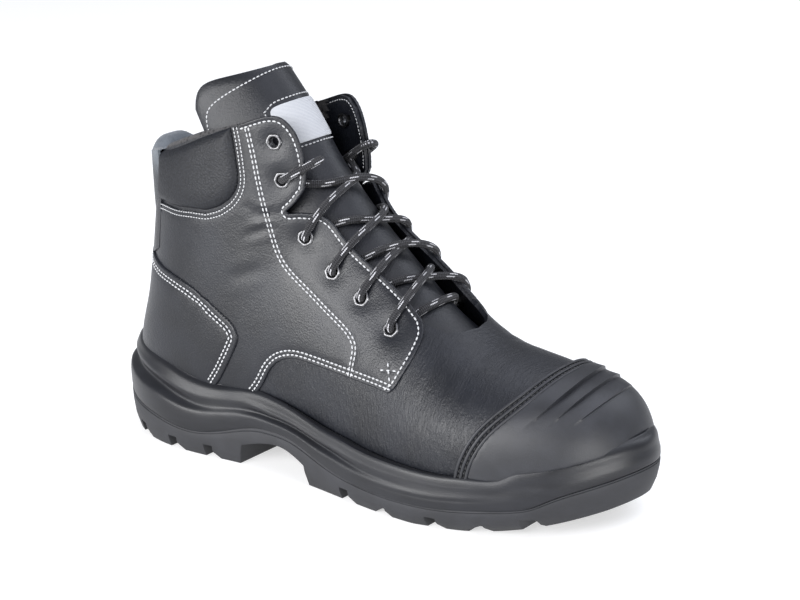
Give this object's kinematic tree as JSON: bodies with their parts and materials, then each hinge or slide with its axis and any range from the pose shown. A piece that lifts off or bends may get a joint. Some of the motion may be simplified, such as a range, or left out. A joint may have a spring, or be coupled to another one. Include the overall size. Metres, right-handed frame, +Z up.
{
  "type": "safety boot",
  "caption": "Ankle-high black leather safety boot for the right foot, with a ribbed toe cap, padded collar, laced throat and lugged rubber sole.",
  "frame": {"origin": "on the floor under the middle of the boot's box", "axes": "+X towards the toe, +Y towards the inner side of the foot, +Z up"},
  "size_m": [0.315, 0.1108, 0.2015],
  "materials": {
    "outsole_rubber": "matt moulded",
    "midsole_foam": "matt moulded",
    "upper_leather": "smooth waxed",
    "toe_cap_leather": "satin",
    "collar_leather": "fine pebbled",
    "strap_nubuck": "nubuck",
    "tongue_leather": "smooth",
    "insole_felt": "felt",
    "eyelet_metal": "gunmetal",
    "lace_cord": "braided with pale flecks"
  },
  "bodies": {
    "root": {"outsole": "outsole_rubber", "midsole": "midsole_foam", "upper": "upper_leather", "toe_cap": "toe_cap_leather", "heel_counter": "upper_leather", "collar_pad": "collar_leather", "back_strap": "strap_nubuck", "tongue": "tongue_leather", "insole": "insole_felt", "eyelet_lateral_1": "eyelet_metal", "eyelet_lateral_2": "eyelet_metal", "eyelet_lateral_3": "eyelet_metal", "eyelet_lateral_4": "eyelet_metal", "eyelet_lateral_5": "eyelet_metal", "eyelet_lateral_6": "eyelet_metal", "eyelet_medial_1": "eyelet_metal", "eyelet_medial_2": "eyelet_metal", "eyelet_medial_3": "eyelet_metal", "eyelet_medial_4": "eyelet_metal", "eyelet_medial_5": "eyelet_metal", "eyelet_medial_6": "eyelet_metal", "lace_cross_1": "lace_cord", "lace_cross_2": "lace_cord", "lace_cross_3": "lace_cord", "lace_cross_4": "lace_cord", "lace_bar": "lace_cord", "lace_end_lateral": "lace_cord", "lace_end_medial": "lace_cord"}
  },
  "joints": []
}
